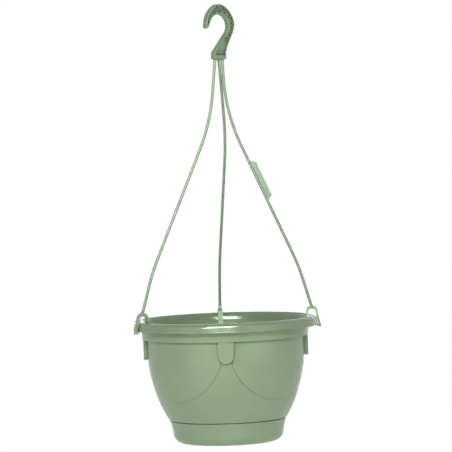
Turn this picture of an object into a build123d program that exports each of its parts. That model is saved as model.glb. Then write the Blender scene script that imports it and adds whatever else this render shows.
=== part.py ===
"""Hanging basket: a moulded bowl with a push-on saucer, hung by its rim from a moulded hanger.

The hanger is a flat hook with three round strands. Each strand ends in a clasp that straddles
the rim and grips under its skirt. Millimetres, +Z up. The origin is the axis of the bar that the
hook hangs on, and the hook stands in the XZ plane.
"""
from build123d import *
import os
from math import acos, asin, atan2, cos, degrees, hypot, radians, sin, tan

# --- Bowl: heights are below the top of the rim, radii are from the bowl's axis ---
RIM_R = 125.0  # outside of the rim's skirt at its lower edge
RIM_SLOPE = 1.1  # how far the skirt leans in towards its top
RIM_ROUND = 5.5  # height of the rim's rounded shoulder
SKIRT_H = 12.0  # height of the rim's skirt
RIM_LAND = 2.0  # flat top of the rim
COLLAR_R = 112.8  # outside of the collar under the rim
COLLAR_DRAFT = 0.8  # how much narrower the collar is at its foot
COLLAR_FOOT = 25.0  # depth of the collar's foot
BODY_R = 104.4  # outside of the body's straight upper part
BODY_STRAIGHT = 45.0  # depth where the body starts to curve in
BODY_CURVE = 172.0  # radius of the body's curve
BODY_FOOT = 134.6  # depth where the body ends over the saucer
FLOOR_DEPTH = 150.0  # underside of the bowl's floor
WALL = 1.6
DRAIN_R = 3.5
DRAIN_RING = 42.0
DRAINS = 6
EDGE_R = 0.5  # rounding of the mouldings' edges
BOWL_X = -4.5  # the bowl hangs this far to the side of the bar's axis

# --- Decoration of the bowl ---
FRONT_TURN = -126.0  # direction of the front tongue, in degrees from +X
FOLDS = 4  # tongues and drape panels around the bowl
PANEL_RAISE = 1.2
PANEL_HALF = 68.2  # half width of a drape panel
PANEL_TOP = 57.0  # depth where a panel's sides start to curve in
PANEL_DROP = 48.5  # height of the curved part of a panel
PANEL_PULL = 0.68  # where a panel's curve is pulled towards, as a share of its half width
TONGUE_W = 21.6
TONGUE_TAPER = 2.6
TONGUE_LENGTH = 28.0
TONGUE_DEPTH = 5.2  # radial depth of a tongue's side flanges
TONGUE_GAP = 1.3  # free space between a tongue and the body
TONGUE_WALL = 1.5

# --- Stiffening ribs in the rim's channel, in pairs ---
RIB_TURNS = (-186.5, -155.0, -49.5, 48.0)  # directions of the pairs
RIB_SPREAD = 3.8  # half the angle between a pair's two ribs
RIB_T = 1.2
RIB_PROUD = 1.0  # how far a rib stands out below the skirt
RIB_SLOPE = 2.0  # length of the slope from a rib's lower edge up to the skirt

# --- Saucer ---
GROOVE = 1.0  # shadow gap between the bowl and the saucer
SAUCER_H = 30.4
SAUCER_TOP_IN = 0.8  # the saucer's edge is this much narrower than the bowl's foot
SAUCER_WAIST_IN = 4.2  # how much narrower the saucer is at its waist
SAUCER_WAIST = 13.0  # height of the waist above the base
SAUCER_FLARE = (0.68, 0.55)  # a point between edge and waist, as shares of the way in and down
SAUCER_HEEL = (0.3, 0.66)  # a point between waist and base, as shares of the way in and down
SAUCER_BASE_R = 62.5
SAUCER_WALL = 1.6
SAUCER_FIT = 0.5  # clearance between the bowl's spigot and the saucer
FOOT_RING_W = 6.0
FOOT_RING_H = 1.0
REST_RIBS = 6
REST_RIB_IN = 53.0
REST_RIB_OUT = 64.0
REST_GAP = 0.3  # the bowl's floor over the saucer's ribs

# --- Hook, seen along Y, from the bar's axis ---
SEAT_R = 15.5  # inside of the crown
HOOK_T = 9.5
HOOK_EDGE_R = 0.8
HOOK_CROWN = 28.9  # top of the hook over the bar's axis
HOOK_BACK = 24.8  # outside of the back
HOOK_TIP = (-21.4, -3.0)
TIP_W = 2.7
TIP_TANGENT = 155.0  # where the seat's arc runs out towards the tip, in degrees
HOOK_BASE_W = 19.4
HOOK_BASE_H = 8.6
SEAT_HEIGHT = 44.5  # bar's axis over the hook's underside
POCKET_RIM = 1.9  # border left around the hook's sunk faces
POCKET_DEPTH = 2.4
BRACE_T = 0.9
BRACES = 17
BRACE_START = 150.0  # direction of the brace next to the tip, in degrees
BRACE_STEP = 13.0

# --- Strands ---
STRAND_R = 1.95
STRAND_PITCH = 6.1  # spacing of the strands at the hook
ROOT_R = 2.4
ROOT_END = 0.4  # how far the root stands out past the outer strands
ROOT_RISE = 0.6  # root's axis over the hook's underside
ROOT_CLEAR = 0.3
HANG = 348.0  # hook's underside over the top of the rim
LOWER_BEND = (0.857, 0.837)  # a strand's lower bend, as shares of its reach and of its fall
UPPER_BENDS = {"left": (0.082, 0.252), "right": (0.015, 0.215), "rear": (0.155, 0.32)}
BEND_R = 250.0
STRAND_BOWS = {"left": 0.0, "right": 0.0, "rear": 7.5}  # sideways bow at the upper bend

# --- Clasps: radii are from the bowl's axis, heights are over the top of the rim ---
CLASP_W = 6.6
CLASP_TOP_W = 3.8
CLASP_SHOULDER = 9.5  # height where the clasp starts to widen downwards
CLASP_WIDEST = 1.0  # height below which it has its full width
CLASP_T = 2.75
ARCH_TOP_T = 4.8
CHANNEL_W = 1.9  # groove down the inner leg
CHANNEL_DEPTH = 0.7
CLASP_CLEAR = 1.0  # outer leg off the skirt's lower edge
CLASP_LEAN = 14.0  # outer leg's lean, in degrees
ARCH_R = 5.0  # inside of the arch
ARCH_Z = 3.4
INNER_LEG = 17.5  # how far the inner leg reaches below the rim
INNER_LEG_CLEAR = 4.8  # inner leg off the wall at its foot
INNER_LEG_T = 2.0
BARB_REACH = 2.0  # how far the barb reaches in under the skirt
BARB_GAP = 0.3
BARB_H = 2.8
KNUCKLE_R = 2.2
KNUCKLE_Z = 12.2
KNUCKLE_CLEAR = 0.3
CLASP_TURNS = {"left": 165.0, "right": -38.0, "rear": 57.0}
STRAND_STARTS = {"left": -STRAND_PITCH, "right": STRAND_PITCH, "rear": 0.0}

# --- Label tab on the right strand ---
TAB_TOP = 0.585  # heights as shares of the strand's fall, from the clasp up
TAB_FOOT = 0.427
TAB_W = 6.6
TAB_T = 1.6
TAB_BEVEL = 0.012

ROOT_Z = -SEAT_HEIGHT + ROOT_RISE
ROOT_HALF = STRAND_PITCH + STRAND_R + ROOT_END
RIM_Z = -SEAT_HEIGHT - HANG
BODY_CENTRE = BODY_R - BODY_CURVE
FOOT_ANGLE = asin((BODY_FOOT - BODY_STRAIGHT) / BODY_CURVE)
FOOT_R = BODY_CENTRE + BODY_CURVE * cos(FOOT_ANGLE)
SAUCER_TOP = BODY_FOOT + GROOVE
SAUCER_FOOT = SAUCER_TOP + SAUCER_H
SAUCER_TOP_R = FOOT_R - SAUCER_TOP_IN
SAUCER_WAIST_R = SAUCER_TOP_R - SAUCER_WAIST_IN
SPIGOT_TOP_R = SAUCER_TOP_R - SAUCER_WALL - SAUCER_FIT
SPIGOT_FOOT_R = SAUCER_WAIST_R - SAUCER_WALL - SAUCER_FIT
KNUCKLE_CENTRE_R = RIM_R + CLASP_CLEAR - tan(radians(CLASP_LEAN)) * (SKIRT_H + ARCH_Z) - ARCH_R


def body_radius(depth):
    """Outside radius of the bowl's body at a depth below the rim."""
    if depth <= BODY_STRAIGHT:
        return BODY_R
    return BODY_CENTRE + BODY_CURVE * cos(asin((depth - BODY_STRAIGHT) / BODY_CURVE))


def turned_plane(turn):
    """Upright plane through the bowl's axis: x runs outwards at that direction, y is up from the rim."""
    a = radians(turn)
    return Plane(origin=(BOWL_X, 0, RIM_Z), x_dir=(cos(a), sin(a), 0), z_dir=(sin(a), -cos(a), 0))


def facing_plane(turn):
    """Upright plane through the bowl's axis that faces outwards at that direction."""
    a = radians(turn)
    return Plane(origin=(BOWL_X, 0, RIM_Z), x_dir=(-sin(a), cos(a), 0), z_dir=(cos(a), sin(a), 0))


def level_plane(height):
    """Level plane centred on the bowl's axis, at a height over the rim."""
    return Plane(origin=(BOWL_X, 0, RIM_Z + height))


def at_points(corners, *points):
    """Those of a sketch's corners that lie at the points."""
    return [c for c in corners if any(hypot(c.X - x, c.Y - y) < 0.01 for x, y in points)]


SIDE = turned_plane(0)
BOWL_AXIS = Axis((BOWL_X, 0, 0), (0, 0, 1))
FOLD_TURNS = [FRONT_TURN + n * 360 / FOLDS for n in range(FOLDS)]


# --- Bowl: one moulding, with its drape panels, tongues and rim ribs ---
def shoulder(skirt_r, rim_top, round_h):
    """The rim's rounded shoulder, from the skirt to the flat top."""
    lean = RIM_SLOPE
    start = (skirt_r - lean, rim_top - round_h)
    end = (skirt_r - lean - round_h, rim_top)
    middle = (start[0] - round_h * (1 - cos(radians(45))), end[1] - round_h * (1 - sin(radians(45))))
    return ThreePointArc(start, middle, end)


FLARE_TOP_R = RIM_R - RIM_SLOPE - RIM_ROUND - RIM_LAND
FLARE_W = FLARE_TOP_R - (COLLAR_R - WALL)
FLARE_R = (FLARE_W**2 + SKIRT_H**2) / (2 * FLARE_W)
FLARE_CENTRE = COLLAR_R - WALL + FLARE_R


def flare_radius(height, wall):
    """Radius of the rim's trumpet-shaped throat at a height, on its inside or a wall outwards."""
    return FLARE_CENTRE - ((FLARE_R - wall) ** 2 - (height + SKIRT_H) ** 2) ** 0.5


def body_point(depth, inset):
    """A point of the body's outline at a depth, moved in square to the surface."""
    slope = asin(max(0.0, depth - BODY_STRAIGHT) / BODY_CURVE)
    return (body_radius(depth) - inset * cos(slope), -depth + inset * sin(slope))


def tongue_outline(inset):
    """A tongue's U-shaped outline below the collar, drawn in by an inset."""
    half = TONGUE_W / 2 - inset
    foot_half = half - TONGUE_TAPER / 2
    foot = inset - COLLAR_FOOT - TONGUE_LENGTH
    Polygon(
        (-half, -COLLAR_FOOT),
        (-foot_half, foot),
        (foot_half, foot),
        (half, -COLLAR_FOOT),
        align=None,
    )
    fillet(vertices().group_by(Axis.Y)[0], foot_half - EDGE_R)


COLLAR_FOOT_R = COLLAR_R - COLLAR_DRAFT
MID_CURVE = (BODY_STRAIGHT + BODY_FOOT) / 2

# raised drape panels, each cut out of a thin skin over the body by a parabola
panels = []
for turn in FOLD_TURNS:
    with BuildPart() as panel:
        with BuildSketch(SIDE):
            with BuildLine():
                low = PANEL_TOP + PANEL_DROP + WALL
                mid = (BODY_STRAIGHT + low) / 2
                outside = BODY_R + PANEL_RAISE
                inside = BODY_R - WALL / 2
                Line((outside, -COLLAR_FOOT), (outside, -BODY_STRAIGHT))
                ThreePointArc(
                    (outside, -BODY_STRAIGHT),
                    body_point(mid, -PANEL_RAISE),
                    body_point(low, -PANEL_RAISE),
                )
                Line(body_point(low, -PANEL_RAISE), body_point(low, WALL / 2))
                ThreePointArc(
                    body_point(low, WALL / 2),
                    body_point(mid, WALL / 2),
                    (inside, -BODY_STRAIGHT),
                )
                Polyline((inside, -BODY_STRAIGHT), (inside, -COLLAR_FOOT), (outside, -COLLAR_FOOT))
            make_face()
        revolve(axis=BOWL_AXIS)
        with BuildSketch(facing_plane(turn + 180 / FOLDS)):
            with BuildLine():
                Bezier(
                    (-PANEL_HALF, -PANEL_TOP),
                    (-PANEL_PULL * PANEL_HALF, -PANEL_TOP - 4 / 3 * PANEL_DROP),
                    (PANEL_PULL * PANEL_HALF, -PANEL_TOP - 4 / 3 * PANEL_DROP),
                    (PANEL_HALF, -PANEL_TOP),
                )
                Polyline(
                    (PANEL_HALF, -PANEL_TOP),
                    (PANEL_HALF, -COLLAR_FOOT),
                    (-PANEL_HALF, -COLLAR_FOOT),
                    (-PANEL_HALF, -PANEL_TOP),
                )
            make_face()
        extrude(amount=2 * RIM_R, mode=Mode.INTERSECT)
    panels.append(panel.part)

# hollow tongues that hang from the collar
TONGUE_R = BODY_R + TONGUE_GAP + TONGUE_DEPTH
tongues = []
for turn in FOLD_TURNS:
    with BuildPart() as tongue:
        with BuildSketch(facing_plane(turn)):
            tongue_outline(0)
        extrude(amount=RIM_R)
        with BuildSketch(facing_plane(turn)):
            tongue_outline(TONGUE_WALL)
        extrude(amount=TONGUE_R - TONGUE_WALL, mode=Mode.SUBTRACT)
        with BuildSketch(level_plane(-COLLAR_FOOT - TONGUE_LENGTH)):
            Circle(TONGUE_R)
            Circle(TONGUE_R - TONGUE_DEPTH, mode=Mode.SUBTRACT)
        extrude(amount=TONGUE_LENGTH, mode=Mode.INTERSECT)
        face = tongue.faces().filter_by(GeomType.CYLINDER).sort_by(SortBy.AREA)[-1]
        fillet(face.edges().sort_by(Axis.Z)[:-1], EDGE_R)
    tongues.append(tongue.part)

with BuildPart() as pot:
    with BuildSketch(SIDE):
        with BuildLine():
            under_land = FLARE_CENTRE - ((FLARE_R - WALL) ** 2 - (SKIRT_H - WALL) ** 2) ** 0.5
            Line((RIM_R - WALL, -SKIRT_H), (RIM_R, -SKIRT_H))
            Line((RIM_R, -SKIRT_H), (RIM_R - RIM_SLOPE, -RIM_ROUND))
            top = shoulder(RIM_R, 0, RIM_ROUND)
            Line(top @ 1, (FLARE_TOP_R, 0))
            ThreePointArc(
                (FLARE_TOP_R, 0),
                (flare_radius(-SKIRT_H / 2, 0), -SKIRT_H / 2),
                (COLLAR_R - WALL, -SKIRT_H),
            )
            Polyline(
                (COLLAR_R - WALL, -SKIRT_H),
                (COLLAR_FOOT_R - WALL, -COLLAR_FOOT + WALL),
                (BODY_R - WALL, -COLLAR_FOOT + WALL),
                (BODY_R - WALL, -BODY_STRAIGHT),
            )
            ThreePointArc(
                (BODY_R - WALL, -BODY_STRAIGHT),
                body_point(MID_CURVE, WALL),
                body_point(BODY_FOOT - WALL, WALL),
            )
            Polyline(
                body_point(BODY_FOOT - WALL, WALL),
                (SPIGOT_TOP_R - WALL, body_point(BODY_FOOT - WALL, WALL)[1]),
                (SPIGOT_FOOT_R - WALL, -FLOOR_DEPTH + WALL),
                (0, -FLOOR_DEPTH + WALL),
                (0, -FLOOR_DEPTH),
                (SPIGOT_FOOT_R, -FLOOR_DEPTH),
                (SPIGOT_TOP_R, -BODY_FOOT),
                (FOOT_R, -BODY_FOOT),
            )
            ThreePointArc((FOOT_R, -BODY_FOOT), body_point(MID_CURVE, 0), (BODY_R, -BODY_STRAIGHT))
            Polyline(
                (BODY_R, -BODY_STRAIGHT),
                (BODY_R, -COLLAR_FOOT),
                (COLLAR_FOOT_R, -COLLAR_FOOT),
                (COLLAR_R, -SKIRT_H),
            )
            ThreePointArc(
                (COLLAR_R, -SKIRT_H),
                (flare_radius(-SKIRT_H / 2, WALL), -SKIRT_H / 2),
                (under_land, -WALL),
            )
            under = shoulder(RIM_R - WALL, -WALL, RIM_ROUND - WALL)
            Line((under_land, -WALL), under @ 1)
            Line(under @ 0, (RIM_R - WALL, -SKIRT_H))
        make_face()
        fillet(
            at_points(
                vertices(),
                (RIM_R, -SKIRT_H),
                (RIM_R - WALL, -SKIRT_H),
                (COLLAR_FOOT_R, -COLLAR_FOOT),
                (BODY_R, -COLLAR_FOOT),
                (BODY_R - WALL, -COLLAR_FOOT + WALL),
                (COLLAR_FOOT_R - WALL, -COLLAR_FOOT + WALL),
                (FOOT_R, -BODY_FOOT),
            ),
            EDGE_R,
        )
    revolve(axis=BOWL_AXIS)

    add(panels)
    add(tongues)

    # ribs in the rim's channel
    for pair_turn in RIB_TURNS:
        for turn in (pair_turn - RIB_SPREAD, pair_turn + RIB_SPREAD):
            with BuildSketch(turned_plane(turn)):
                with BuildLine():
                    Polyline(
                        (COLLAR_R - WALL / 2, -SKIRT_H - RIB_PROUD),
                        (RIM_R - WALL - RIB_SLOPE, -SKIRT_H - RIB_PROUD),
                        (RIM_R - WALL / 2, -SKIRT_H + EDGE_R),
                        (RIM_R - RIM_SLOPE - WALL / 2, -RIM_ROUND),
                        (FLARE_TOP_R + RIM_LAND, -WALL / 2),
                        (FLARE_TOP_R + EDGE_R, -WALL / 2),
                        (flare_radius(-SKIRT_H / 2, WALL / 2), -SKIRT_H / 2),
                        close=True,
                    )
                make_face()
            extrude(amount=RIB_T / 2, both=True)

    with Locations((BOWL_X, 0, RIM_Z - FLOOR_DEPTH + WALL / 2)):
        with PolarLocations(DRAIN_RING, DRAINS):
            Cylinder(DRAIN_R, 2 * WALL, mode=Mode.SUBTRACT)
        Cylinder(DRAIN_R, 2 * WALL, mode=Mode.SUBTRACT)
pot.part.label = "pot"


# --- Saucer: pushed up over the bowl's spigot, with ribs that the bowl's floor rests on ---
SAUCER_FLOOR = SAUCER_FOOT - FOOT_RING_H - SAUCER_WALL
FLARE_MID_R = SAUCER_TOP_R - SAUCER_FLARE[0] * SAUCER_WAIST_IN
FLARE_MID = SAUCER_TOP + SAUCER_FLARE[1] * (SAUCER_H - SAUCER_WAIST)
HEEL_R = SAUCER_WAIST_R - SAUCER_HEEL[0] * (SAUCER_WAIST_R - SAUCER_BASE_R)
HEEL = SAUCER_FOOT - (1 - SAUCER_HEEL[1]) * SAUCER_WAIST
WAIST = SAUCER_FOOT - SAUCER_WAIST

with BuildPart() as saucer:
    with BuildSketch(SIDE):
        with BuildLine():
            ThreePointArc((SAUCER_TOP_R, -SAUCER_TOP), (FLARE_MID_R, -FLARE_MID), (SAUCER_WAIST_R, -WAIST))
            ThreePointArc((SAUCER_WAIST_R, -WAIST), (HEEL_R, -HEEL), (SAUCER_BASE_R, -SAUCER_FOOT))
            Polyline(
                (SAUCER_BASE_R, -SAUCER_FOOT),
                (SAUCER_BASE_R - FOOT_RING_W, -SAUCER_FOOT),
                (SAUCER_BASE_R - FOOT_RING_W, -SAUCER_FOOT + FOOT_RING_H),
                (0, -SAUCER_FOOT + FOOT_RING_H),
                (0, -SAUCER_FLOOR),
                (SAUCER_BASE_R, -SAUCER_FLOOR),
            )
            ThreePointArc(
                (SAUCER_BASE_R, -SAUCER_FLOOR),
                (HEEL_R - SAUCER_WALL, -HEEL + SAUCER_WALL / 2),
                (SAUCER_WAIST_R - SAUCER_WALL, -WAIST),
            )
            ThreePointArc(
                (SAUCER_WAIST_R - SAUCER_WALL, -WAIST),
                (FLARE_MID_R - SAUCER_WALL, -FLARE_MID),
                (SAUCER_TOP_R - SAUCER_WALL, -SAUCER_TOP),
            )
            Line((SAUCER_TOP_R - SAUCER_WALL, -SAUCER_TOP), (SAUCER_TOP_R, -SAUCER_TOP))
        make_face()
        fillet(
            at_points(
                vertices(),
                (SAUCER_TOP_R, -SAUCER_TOP),
                (SAUCER_TOP_R - SAUCER_WALL, -SAUCER_TOP),
                (SAUCER_BASE_R - FOOT_RING_W, -SAUCER_FOOT),
            ),
            EDGE_R,
        )
    revolve(axis=BOWL_AXIS)
    with BuildSketch(level_plane(-SAUCER_FLOOR)):
        with PolarLocations((REST_RIB_IN + REST_RIB_OUT) / 2, REST_RIBS):
            Rectangle(REST_RIB_OUT - REST_RIB_IN, SAUCER_WALL)
    extrude(amount=SAUCER_FLOOR - FLOOR_DEPTH - REST_GAP)
saucer.part.label = "saucer"


# --- Hook: a flat moulding with sunk, braced faces and a groove for the strands' root ---
def tangent_turn(point, radius):
    """Direction, in degrees, of the point where a line from `point` touches the seat's circle."""
    return degrees(atan2(point[1], point[0]) + acos(radius / hypot(*point)))


def on_seat(turn, radius=SEAT_R):
    """A point of the seat's circle, or of one round it, at a direction in degrees."""
    return (radius * cos(radians(turn)), radius * sin(radians(turn)))


HOOK_BASE = -SEAT_HEIGHT
BASE_TOP = HOOK_BASE + HOOK_BASE_H
BASE_HALF = HOOK_BASE_W / 2
THROAT_END = tangent_turn((-BASE_HALF, BASE_TOP), SEAT_R)


def hook_curves(inset, tip):
    """The hook's back from its base to a point at the tip, and its throat, both drawn in by an inset."""
    back = HOOK_BACK - inset
    crown = HOOK_CROWN - inset
    seat = SEAT_R + inset
    Spline(
        (BASE_HALF - inset, BASE_TOP),
        (0.67 * HOOK_BACK - inset, -1.25 * SEAT_R),
        (back, 0),
        (0.57 * back, 0.78 * crown),
        (0, crown),
        (0.75 * (HOOK_TIP[0] + inset), 0.59 * crown),
        tip,
        tangents=((0.3, 1.0), (-0.05, -1.0)),
    )
    ThreePointArc(
        on_seat(TIP_TANGENT, seat),
        on_seat((TIP_TANGENT + THROAT_END) / 2, seat),
        on_seat(THROAT_END, seat),
    )
    Line(on_seat(THROAT_END, seat), (inset - BASE_HALF, BASE_TOP))


with BuildPart() as hook:
    with BuildSketch(Plane.XZ):
        with BuildLine():
            hook_curves(0, HOOK_TIP)
            Polyline(HOOK_TIP, (HOOK_TIP[0] + TIP_W, HOOK_TIP[1] - 0.5), on_seat(TIP_TANGENT))
            Polyline(
                (-BASE_HALF, BASE_TOP),
                (-BASE_HALF, HOOK_BASE),
                (BASE_HALF, HOOK_BASE),
                (BASE_HALF, BASE_TOP),
            )
        make_face()
    extrude(amount=HOOK_T / 2, both=True)
    fillet(hook.faces().filter_by(Axis.Y).edges(), HOOK_EDGE_R)

    # sunk faces, front and back, less their braces
    with BuildSketch(Plane.XZ.offset(HOOK_T / 2 - POCKET_DEPTH), Plane.XZ.offset(-HOOK_T / 2)):
        with BuildLine():
            pocket_tip = (HOOK_TIP[0] + POCKET_RIM, HOOK_TIP[1] + 2 * POCKET_RIM)
            pocket_half = BASE_HALF - POCKET_RIM
            hook_curves(POCKET_RIM, pocket_tip)
            Line(pocket_tip, on_seat(TIP_TANGENT, SEAT_R + POCKET_RIM))
            Polyline(
                (-pocket_half, BASE_TOP),
                (-pocket_half, HOOK_BASE + POCKET_RIM),
                (pocket_half, HOOK_BASE + POCKET_RIM),
                (pocket_half, BASE_TOP),
            )
        make_face()
        for brace in range(BRACES):
            turn = BRACE_START - brace * BRACE_STEP
            lean = turn + (35 if brace % 2 else -35)
            with Locations(Location(on_seat(turn, (SEAT_R + HOOK_CROWN) / 2), lean)):
                Rectangle(2 * SEAT_R, BRACE_T, mode=Mode.SUBTRACT)
        with Locations((0, BASE_TOP)):
            Rectangle(HOOK_BASE_W, 1.5 * BRACE_T, mode=Mode.SUBTRACT)
        with Locations((0, HOOK_BASE + ROOT_R + POCKET_RIM)):
            Rectangle(HOOK_BASE_W, BRACE_T, mode=Mode.SUBTRACT)
        with Locations((0, HOOK_BASE)):
            Rectangle(HOOK_BASE_W, 2 * (ROOT_R + POCKET_RIM), mode=Mode.SUBTRACT)
    extrude(amount=POCKET_DEPTH, mode=Mode.SUBTRACT)

    with Locations(Location((0, 0, ROOT_Z), (0, 90, 0))):
        Cylinder(ROOT_R + ROOT_CLEAR, 2 * (ROOT_HALF + ROOT_CLEAR), mode=Mode.SUBTRACT)
hook.part.label = "hanger_hook"

with BuildPart(Location((0, 0, ROOT_Z), (0, 90, 0))) as strand_root:
    Cylinder(ROOT_R, 2 * ROOT_HALF)
strand_root.part.label = "strand_root"


# --- Strands: each hangs from the root and ends in a knuckle over its clasp ---
FALL = ROOT_Z - RIM_Z - KNUCKLE_Z


def strand_span(name):
    """The level vector from a strand's start to its knuckle."""
    knuckle = Vector(KNUCKLE_CENTRE_R, 0, 0).rotate(Axis.Z, CLASP_TURNS[name])
    return knuckle + Vector(BOWL_X - STRAND_STARTS[name], 0, 0)


def strand_plane(name):
    """Upright plane through a strand: x runs outwards from the root, y is up."""
    out = strand_span(name).normalized()
    start = (STRAND_STARTS[name], 0, ROOT_Z)
    return Plane(origin=start, x_dir=out, z_dir=out.cross(Vector(0, 0, 1)))


strands = {}
for name in CLASP_TURNS:
    reach = strand_span(name).length
    bend_x, bend_y = UPPER_BENDS[name]
    with BuildPart() as strand:
        plane = strand_plane(name)
        with BuildLine() as path:
            FilletPolyline(
                plane.origin,
                plane.from_local_coords((bend_x * reach, -bend_y * FALL, STRAND_BOWS[name])),
                plane.from_local_coords((LOWER_BEND[0] * reach, -LOWER_BEND[1] * FALL)),
                plane.from_local_coords((reach, -FALL)),
                radius=BEND_R,
            )
        with BuildSketch(path.line ^ 0):
            Circle(STRAND_R)
        sweep(path=path.line)
        with BuildSketch(turned_plane(CLASP_TURNS[name])):
            with Locations((KNUCKLE_CENTRE_R, KNUCKLE_Z)):
                Circle(KNUCKLE_R)
        extrude(amount=CLASP_TOP_W / 2, both=True)
        add(strand_root.part, mode=Mode.SUBTRACT)
    strand.part.label = f"strand_{name}"
    strands[name] = strand.part


# --- Clasps: an arch over the rim, an inner leg, and an outer leg with a barb under the skirt ---
LEAN = tan(radians(CLASP_LEAN))
LEG_T = CLASP_T / cos(radians(CLASP_LEAN))
BARB_TOP = -SKIRT_H - BARB_GAP
CLASP_FOOT = BARB_TOP - BARB_H
ARCH_OUT = ARCH_R + LEG_T
ARCH_TOP = ARCH_Z + ARCH_R + ARCH_TOP_T
INNER_FOOT_R = COLLAR_R - WALL - INNER_LEG_CLEAR


def outer_leg(height, away=0.0):
    """A point on the outer leg's inside face at a height, or that far outside it."""
    return (KNUCKLE_CENTRE_R + ARCH_R + LEAN * (ARCH_Z - height) + away, height)


clasps = {}
for name, turn in CLASP_TURNS.items():
    with BuildPart() as clasp:
        with BuildSketch(turned_plane(turn)):
            with BuildLine():
                ThreePointArc(
                    (KNUCKLE_CENTRE_R - ARCH_R, ARCH_Z),
                    (KNUCKLE_CENTRE_R, ARCH_Z + ARCH_R),
                    (KNUCKLE_CENTRE_R + ARCH_R, ARCH_Z),
                )
                Polyline(
                    (KNUCKLE_CENTRE_R + ARCH_R, ARCH_Z),
                    outer_leg(BARB_TOP),
                    (RIM_R - BARB_REACH, BARB_TOP - 0.2 * BARB_H),
                    (RIM_R - BARB_REACH, BARB_TOP - 0.5 * BARB_H),
                    outer_leg(CLASP_FOOT, 0.3 * LEG_T),
                    outer_leg(CLASP_FOOT, 0.8 * LEG_T),
                    outer_leg(CLASP_FOOT + 0.2 * LEG_T, LEG_T),
                    outer_leg(ARCH_Z, LEG_T),
                )
                ThreePointArc(
                    (KNUCKLE_CENTRE_R + ARCH_OUT, ARCH_Z),
                    (KNUCKLE_CENTRE_R, ARCH_TOP),
                    (KNUCKLE_CENTRE_R - ARCH_OUT, ARCH_Z),
                )
                Polyline(
                    (KNUCKLE_CENTRE_R - ARCH_OUT, ARCH_Z),
                    (INNER_FOOT_R - INNER_LEG_T, -INNER_LEG),
                    (INNER_FOOT_R, -INNER_LEG),
                    (KNUCKLE_CENTRE_R - ARCH_R, ARCH_Z),
                )
            make_face()
            fillet(
                at_points(
                    vertices(),
                    (INNER_FOOT_R - INNER_LEG_T, -INNER_LEG),
                    (INNER_FOOT_R, -INNER_LEG),
                    outer_leg(CLASP_FOOT, 0.3 * LEG_T),
                    outer_leg(CLASP_FOOT, 0.8 * LEG_T),
                    outer_leg(CLASP_FOOT + 0.2 * LEG_T, LEG_T),
                ),
                EDGE_R / 2,
            )
            with Locations((KNUCKLE_CENTRE_R, KNUCKLE_Z)):
                Circle(KNUCKLE_R + KNUCKLE_CLEAR, mode=Mode.SUBTRACT)
        extrude(amount=CLASP_W / 2, both=True)
        with BuildSketch(facing_plane(turn)):
            Polygon(
                (-CLASP_TOP_W / 2, ARCH_TOP),
                (-CLASP_TOP_W / 2, CLASP_SHOULDER),
                (-CLASP_W / 2, CLASP_WIDEST),
                (-CLASP_W / 2, -INNER_LEG),
                (CLASP_W / 2, -INNER_LEG),
                (CLASP_W / 2, CLASP_WIDEST),
                (CLASP_TOP_W / 2, CLASP_SHOULDER),
                (CLASP_TOP_W / 2, ARCH_TOP),
                align=None,
            )
        extrude(amount=2 * RIM_R, mode=Mode.INTERSECT)
        with BuildSketch(turned_plane(turn)):
            Polygon(
                (KNUCKLE_CENTRE_R - ARCH_OUT, ARCH_Z),
                (KNUCKLE_CENTRE_R - ARCH_OUT + CHANNEL_DEPTH, ARCH_Z),
                (INNER_FOOT_R - INNER_LEG_T + CHANNEL_DEPTH, -INNER_LEG),
                (INNER_FOOT_R - INNER_LEG_T, -INNER_LEG),
                align=None,
            )
        extrude(amount=CHANNEL_W / 2, both=True, mode=Mode.SUBTRACT)
    clasp.part.label = f"clasp_{name}"
    clasps[name] = clasp.part


# --- Label tab: a thin flag along the outside of the right strand ---
TAB_REACH = strand_span("right").length
BEND_X, BEND_Y = UPPER_BENDS["right"]
RUN = Vector((LOWER_BEND[0] - BEND_X) * TAB_REACH, (BEND_Y - LOWER_BEND[1]) * FALL)
RUN_START = Vector(BEND_X * TAB_REACH, -BEND_Y * FALL)


def on_run(share, away):
    """A point beside the right strand's straight run, that share of the fall above the clasp."""
    along = (1 - share - BEND_Y) / (LOWER_BEND[1] - BEND_Y)
    return RUN_START + RUN * along + Vector(-RUN.Y, RUN.X).normalized() * away


with BuildPart() as label_tab:
    with BuildSketch(strand_plane("right")):
        Polygon(
            on_run(TAB_TOP, STRAND_R / 2),
            on_run(TAB_TOP - TAB_BEVEL, STRAND_R + TAB_W),
            on_run(TAB_FOOT + TAB_BEVEL, STRAND_R + TAB_W),
            on_run(TAB_FOOT, STRAND_R / 2),
            align=None,
        )
        fillet(vertices(), EDGE_R)
    extrude(amount=TAB_T / 2, both=True)
    add(strands["right"], mode=Mode.SUBTRACT)
label_tab.part.label = "label_tab"

os.makedirs("parts", exist_ok=True)
for piece in (pot.part, saucer.part, hook.part, strand_root.part, label_tab.part):
    export_step(piece, f"parts/{piece.label}.step")
for piece in (*strands.values(), *clasps.values()):
    export_step(piece, f"parts/{piece.label}.step")
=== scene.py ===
import bmesh
import bpy
import math
from mathutils import Matrix, Vector


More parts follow.
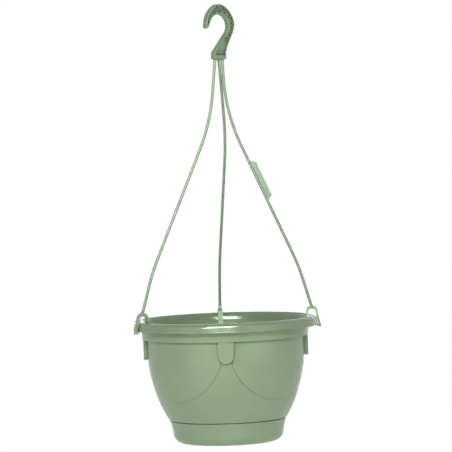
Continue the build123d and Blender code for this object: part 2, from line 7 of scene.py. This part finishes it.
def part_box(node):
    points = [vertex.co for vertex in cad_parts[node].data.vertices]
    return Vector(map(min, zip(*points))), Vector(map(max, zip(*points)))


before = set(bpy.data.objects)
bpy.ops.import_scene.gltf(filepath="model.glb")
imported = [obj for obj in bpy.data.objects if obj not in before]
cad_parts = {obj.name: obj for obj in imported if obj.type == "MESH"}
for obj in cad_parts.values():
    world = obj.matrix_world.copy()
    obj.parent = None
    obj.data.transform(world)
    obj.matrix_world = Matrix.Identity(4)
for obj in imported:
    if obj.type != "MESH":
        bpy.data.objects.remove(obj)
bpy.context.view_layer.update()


# --- Hook ---
# The flat hook that goes over a bracket, one injection moulding in sage green polypropylene.
# Its faces are sunk and braced, so that the moulding stays thin, and it comes out of the tool with
# a fine grain and a dull sheen.
def clouds(finish, per_metre, detail, rough):
    """Uneven patches fixed to the piece, so many to a metre, with finer ones inside them."""
    nodes, links = finish.node_tree.nodes, finish.node_tree.links
    where = nodes.new("ShaderNodeTexCoord")
    noise = nodes.new("ShaderNodeTexNoise")
    noise.inputs["Scale"].default_value = per_metre
    noise.inputs["Detail"].default_value = detail
    noise.inputs["Roughness"].default_value = rough
    links.new(where.outputs["Object"], noise.inputs["Vector"])
    return noise.outputs["Fac"]


def between(finish, patches, low, high, low_colour, high_colour):
    """One colour where the patches are under low, the other where they are over high."""
    ramp = finish.node_tree.nodes.new("ShaderNodeValToRGB")
    ramp.color_ramp.elements[0].position = low
    ramp.color_ramp.elements[1].position = high
    ramp.color_ramp.elements[0].color = (*low_colour, 1)
    ramp.color_ramp.elements[1].color = (*high_colour, 1)
    finish.node_tree.links.new(patches, ramp.inputs["Fac"])
    return ramp.outputs["Color"]


def spread(finish, value, from_range, to_range, easing="LINEAR"):
    """A value moved from one range to another and held at its ends."""
    reach = finish.node_tree.nodes.new("ShaderNodeMapRange")
    reach.interpolation_type = easing
    reach.inputs["From Min"].default_value, reach.inputs["From Max"].default_value = from_range
    reach.inputs["To Min"].default_value, reach.inputs["To Max"].default_value = to_range
    finish.node_tree.links.new(value, reach.inputs["Value"])
    return reach.outputs["Result"]


def darkened(finish, colour, darkening, share=1.0):
    """A colour multiplied by a darkening, in full or by a share of it."""
    mix = finish.node_tree.nodes.new("ShaderNodeMix")
    mix.data_type = "RGBA"
    mix.blend_type = "MULTIPLY"
    mix.inputs["Factor"].default_value = share
    finish.node_tree.links.new(colour, mix.inputs["A"])
    finish.node_tree.links.new(darkening, mix.inputs["B"])
    return mix.outputs["Result"]


def painted_corner_shade(finish):
    """Painted shade: the colour darkened within 3 mm of an inner corner, where shade falls."""
    corner = finish.node_tree.nodes.new("ShaderNodeAmbientOcclusion")
    corner.samples = 8
    corner.inputs["Distance"].default_value = 0.003
    return spread(finish, corner.outputs["AO"], from_range=(0.4, 0.95), to_range=(0.42, 1.0))


def relief(finish, heights, strength, depth, earlier=None):
    """Small ups and downs of the surface, added to the ones of an earlier relief."""
    bump = finish.node_tree.nodes.new("ShaderNodeBump")
    bump.inputs["Strength"].default_value = strength
    bump.inputs["Distance"].default_value = depth
    finish.node_tree.links.new(heights, bump.inputs["Height"])
    if earlier:
        finish.node_tree.links.new(earlier, bump.inputs["Normal"])
    return bump.outputs["Normal"]


def moulded_green(name, shade, roughness, grain, mottle):
    """Polypropylene of one shade, with the strength of its tool grain and its mottle, which is
    the number of pigment clouds to a metre."""
    finish = bpy.data.materials.new(name)
    finish.use_nodes = True
    links = finish.node_tree.links
    plastic = finish.node_tree.nodes["Principled BSDF"]
    plastic.inputs["IOR"].default_value = 1.49
    plastic.inputs["Specular Tint"].default_value = (0.74, 1.0, 0.78, 1)
    plastic.inputs["Subsurface Weight"].default_value = 0.06
    plastic.inputs["Subsurface Radius"].default_value = (0.9, 1.0, 0.7)
    plastic.inputs["Subsurface Scale"].default_value = 0.002

    thin = [part * share for part, share in zip(shade, (0.93, 0.94, 0.93))]
    thick = [part * share for part, share in zip(shade, (1.05, 1.04, 1.06))]
    pigment = clouds(finish, per_metre=mottle, detail=4, rough=0.55)
    clouded = between(finish, pigment, low=0.3, high=0.72, low_colour=thin, high_colour=thick)
    specks = clouds(finish, per_metre=1400, detail=2, rough=0.6)
    dark, clear = (0.80, 0.82, 0.79), (1, 1, 1)
    speckle = between(finish, specks, low=0.34, high=0.6, low_colour=dark, high_colour=clear)
    speckled = darkened(finish, clouded, speckle, share=0.22)
    # Painted shade in the inner corners, laid over the speckled colour.
    links.new(darkened(finish, speckled, painted_corner_shade(finish)), plastic.inputs["Base Color"])

    rubbed = clouds(finish, per_metre=46, detail=5, rough=0.6)
    smoothest, roughest = roughness - 0.05, roughness + 0.07
    patchy = spread(finish, rubbed, from_range=(0, 1), to_range=(smoothest, roughest))
    links.new(patchy, plastic.inputs["Roughness"])

    tool_marks = clouds(finish, per_metre=2300, detail=3, rough=0.65)
    grained = relief(finish, tool_marks, strength=grain, depth=0.00006)
    sinks = clouds(finish, per_metre=38, detail=2, rough=0.4)
    sunk = relief(finish, sinks, strength=0.25, depth=0.0006, earlier=grained)
    links.new(sunk, plastic.inputs["Normal"])
    return finish


def wear(node, finish):
    """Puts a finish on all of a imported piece."""
    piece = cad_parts[node]
    piece.data.materials.clear()
    piece.data.materials.append(finish)


# Painted shade: the hook's green is the bowl's sage darkened by about an eighth, because the hook
# hangs nearer the key light.
hanger_shaded_green = moulded_green(
    "hanger_shaded_green", shade=(0.262, 0.352, 0.220), roughness=0.52, grain=0.04, mottle=60
)
wear("hanger_hook", hanger_shaded_green)

# --- Strand root ---
# The short round bar in the hook's foot that the three strands grow from, in the hook's plastic.
# It turns in the foot's groove, in place of the thin root that bends on a real hanger.
wear("strand_root", hanger_shaded_green)

# --- Strands ---
# Three round strands of the same polypropylene moulding, thin and springy. They leave the hook's
# foot side by side, bow out under the bowl's weight and run down to the rim in one long curve each.
strand_green = moulded_green(
    "strand_green", shade=(0.290, 0.395, 0.250), roughness=0.38, grain=0.06, mottle=90
)
for side in ("left", "right", "rear"):
    wear(f"strand_{side}", strand_green)

# --- Label tab ---
# A flat flag moulded on the right strand, in the same plastic. The grower's label is pushed on
# to it, so it is left bare here.
wear("label_tab", strand_green)

# --- Clasps ---
# Each strand ends in a moulded arch that straddles the rim, with a grooved leg inside the bowl.
# The outer leg is sprung over the skirt, and its barb hooks under the skirt's edge.
sage = (0.300, 0.402, 0.246)
clasp_green = moulded_green("clasp_green", shade=sage, roughness=0.46, grain=0.1, mottle=80)
for side in ("left", "right", "rear"):
    wear(f"clasp_{side}", clasp_green)

# --- Bowl ---
# One thin injection moulding in the same green, with a rolled rim, a collar with four tongues, and
# raised drape panels. The tool is polished at the rim, which comes out glossier than the satin
# body, and the rim's colour is darkened there as painted shade.
rim_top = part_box("pot")[1][2]
polish_starts = rim_top - 0.016
polish_is_full = rim_top - 0.008
polished_share = 0.45  # of the body's roughness
# Painted shade: the rim's colour is darkened towards its top, starting at these depths below it.
rim_shade_starts = rim_top - 0.0135
rim_shade_is_full = rim_top - 0.0115
rim_shade_share = 0.82  # of the body's colour


def polish_rim(finish):
    """Smooths a moulded finish from the foot of the rolled rim upwards, and darkens its colour
    there as painted shade.
    """
    nodes, links = finish.node_tree.nodes, finish.node_tree.links
    plastic = nodes["Principled BSDF"]
    where = nodes.new("ShaderNodeTexCoord")
    height = nodes.new("ShaderNodeSeparateXYZ")
    links.new(where.outputs["Object"], height.inputs["Vector"])

    polish_span = (polish_starts, polish_is_full)
    polish = spread(finish, height.outputs["Z"], polish_span, (1.0, polished_share), "SMOOTHSTEP")
    polished = nodes.new("ShaderNodeMath")
    polished.operation = "MULTIPLY"
    links.new(plastic.inputs["Roughness"].links[0].from_socket, polished.inputs[0])
    links.new(polish, polished.inputs[1])
    links.new(polished.outputs["Value"], plastic.inputs["Roughness"])

    # Painted shade on the rim, as a share of the body's colour.
    rim_shade_span = (rim_shade_starts, rim_shade_is_full)
    darkening = spread(finish, height.outputs["Z"], rim_shade_span, (1.0, rim_shade_share))
    clouded = plastic.inputs["Base Color"].links[0].from_socket
    links.new(darkened(finish, clouded, darkening), plastic.inputs["Base Color"])


bowl_green = moulded_green("bowl_green", shade=sage, roughness=0.34, grain=0.22, mottle=22)
polish_rim(bowl_green)
wear("pot", bowl_green)

# --- Saucer ---
# A drip saucer pushed on from below, over the bowl's spigot. It is a moulding of its own, from
# another batch of the green, with its clouds of pigment a little finer.
saucer_green = moulded_green(
    "saucer_green", shade=(0.294, 0.398, 0.246), roughness=0.36, grain=0.22, mottle=26
)
wear("saucer", saucer_green)

# --- Studio ---
# A pale paper floor well under the basket, under a white sky, with soft boxes in front, at both
# sides and behind. The edge boxes draw the pale outlines, and the sheen box gives gloss alone,
# which is the bright streak on the rim.
basket_middle = Vector((0, 0, -0.42))
view_turn = math.radians(-36)
forward = Vector((-math.sin(view_turn), math.cos(view_turn), 0))
across = Vector((math.cos(view_turn), math.sin(view_turn), 0))


def stand(right, back, up):
    """A place in the studio, in metres right of the basket, behind it and over the bar."""
    return across * right + forward * back + Vector((0, 0, up))


def soft_box(name, power, size, place):
    """A wide light of so many watts, with its width and height, turned to the basket."""
    lamp = bpy.data.lights.new(name, "AREA")
    lamp.shape = "RECTANGLE"
    lamp.size, lamp.size_y = size
    lamp.energy = power
    holder = bpy.data.objects.new(name, lamp)
    bpy.context.scene.collection.objects.link(holder)
    holder.location = place
    holder.rotation_mode = "QUATERNION"
    holder.rotation_quaternion = (basket_middle - place).to_track_quat("-Z", "Y")
    return holder


soft_box("key", power=15, size=(1.2, 0.22), place=stand(-0.24, -2.0, 0.45))
soft_box("fill_left", power=8, size=(1.6, 1.0), place=stand(-1.5, -1.7, -0.35))
soft_box("fill_right", power=9.5, size=(1.6, 1.0), place=stand(1.6, -1.6, -0.35))
soft_box("edge_left", power=2, size=(0.4, 1.2), place=stand(-0.75, 2.3, -0.3))
soft_box("edge_right", power=4, size=(0.4, 1.2), place=stand(0.75, 2.3, -0.3))
sheen = soft_box("sheen", power=50, size=(0.75, 0.8), place=stand(-0.09, -1.2, 0.36))
sheen.visible_diffuse = False
behind = soft_box("behind", power=13, size=(2.4, 1.4), place=stand(0, 2.6, 0.3))
behind.visible_camera = False
behind.visible_glossy = False


def backdrop_rays(finish):
    """1 on the rays that see or mirror the backdrop, 0 on those by which it lights the basket."""
    nodes, links = finish.node_tree.nodes, finish.node_tree.links
    ray = nodes.new("ShaderNodeLightPath")
    mirrored = nodes.new("ShaderNodeMath")
    mirrored.operation = "ADD"
    links.new(ray.outputs["Is Transmission Ray"], mirrored.inputs[0])
    links.new(ray.outputs["Is Glossy Ray"], mirrored.inputs[1])
    seen = nodes.new("ShaderNodeMath")
    seen.operation = "ADD"
    seen.use_clamp = True
    links.new(ray.outputs["Is Camera Ray"], seen.inputs[0])
    links.new(mirrored.outputs["Value"], seen.inputs[1])
    return seen.outputs["Value"]


sky_lights = 0.26
sky_seen = 1.0
sky = bpy.data.worlds.new("sky")
bpy.context.scene.world = sky
sky.use_nodes = True
white = sky.node_tree.nodes["Background"]
white.inputs["Color"].default_value = (1, 1, 1, 1)
sky_level = spread(sky, backdrop_rays(sky), from_range=(0, 1), to_range=(sky_lights, sky_seen))
sky.node_tree.links.new(sky_level, white.inputs["Strength"])

floor_height = -0.95
floor_reach = 8.0
floor_mesh = bpy.data.meshes.new("floor")
sheet = bmesh.new()
bmesh.ops.create_grid(sheet, x_segments=1, y_segments=1, size=floor_reach)
bmesh.ops.translate(sheet, verts=sheet.verts, vec=(0, 0, floor_height))
sheet.to_mesh(floor_mesh)
sheet.free()

glow_share = 0.93  # the rest is lit paper, which keeps the basket's shadow
paper = bpy.data.materials.new("floor_paper")
paper.use_nodes = True
paper_nodes, paper_links = paper.node_tree.nodes, paper.node_tree.links
matt = paper_nodes["Principled BSDF"]
matt.inputs["Base Color"].default_value = (0.9, 0.9, 0.9, 1)
matt.inputs["Roughness"].default_value = 0.9
glow = paper_nodes.new("ShaderNodeEmission")
glow.inputs["Color"].default_value = (1, 1, 1, 1)
glow.inputs["Strength"].default_value = 1.06
blend = paper_nodes.new("ShaderNodeMixShader")
paper_glow = spread(paper, backdrop_rays(paper), from_range=(0, 1), to_range=(0, glow_share))
paper_links.new(paper_glow, blend.inputs["Fac"])
paper_links.new(matt.outputs["BSDF"], blend.inputs[1])
paper_links.new(glow.outputs["Emission"], blend.inputs[2])
paper_links.new(blend.outputs["Shader"], paper_nodes["Material Output"].inputs["Surface"])
floor_mesh.materials.append(paper)
floor = bpy.data.objects.new("floor", floor_mesh)
bpy.context.scene.collection.objects.link(floor)

# --- Camera ---
# A long lens four metres off, which looks slightly down into the bowl. It is rolled by two
# degrees, so that the basket hangs a touch aslant, as it does on a bracket.
view_distance = 4.03
view_width = 0.607488
film_width = 36.0
lens = bpy.data.cameras.new("camera")
lens.sensor_width = film_width
lens.lens = film_width * view_distance / view_width
lens.clip_end = 60
camera = bpy.data.objects.new("camera", lens)
bpy.context.scene.collection.objects.link(camera)
eye = stand(-0.0036, -view_distance, -0.125)
looked_at = stand(0.0022, 0, -0.2690)
aim = (looked_at - eye).to_track_quat("-Z", "Y").to_matrix()
roll = Matrix.Rotation(math.radians(-1.95), 3, "Z")
camera.matrix_world = Matrix.Translation(eye) @ (aim @ roll).to_4x4()
bpy.context.scene.camera = camera
bpy.context.scene.view_settings.view_transform = "Standard"

bpy.context.view_layer.update()
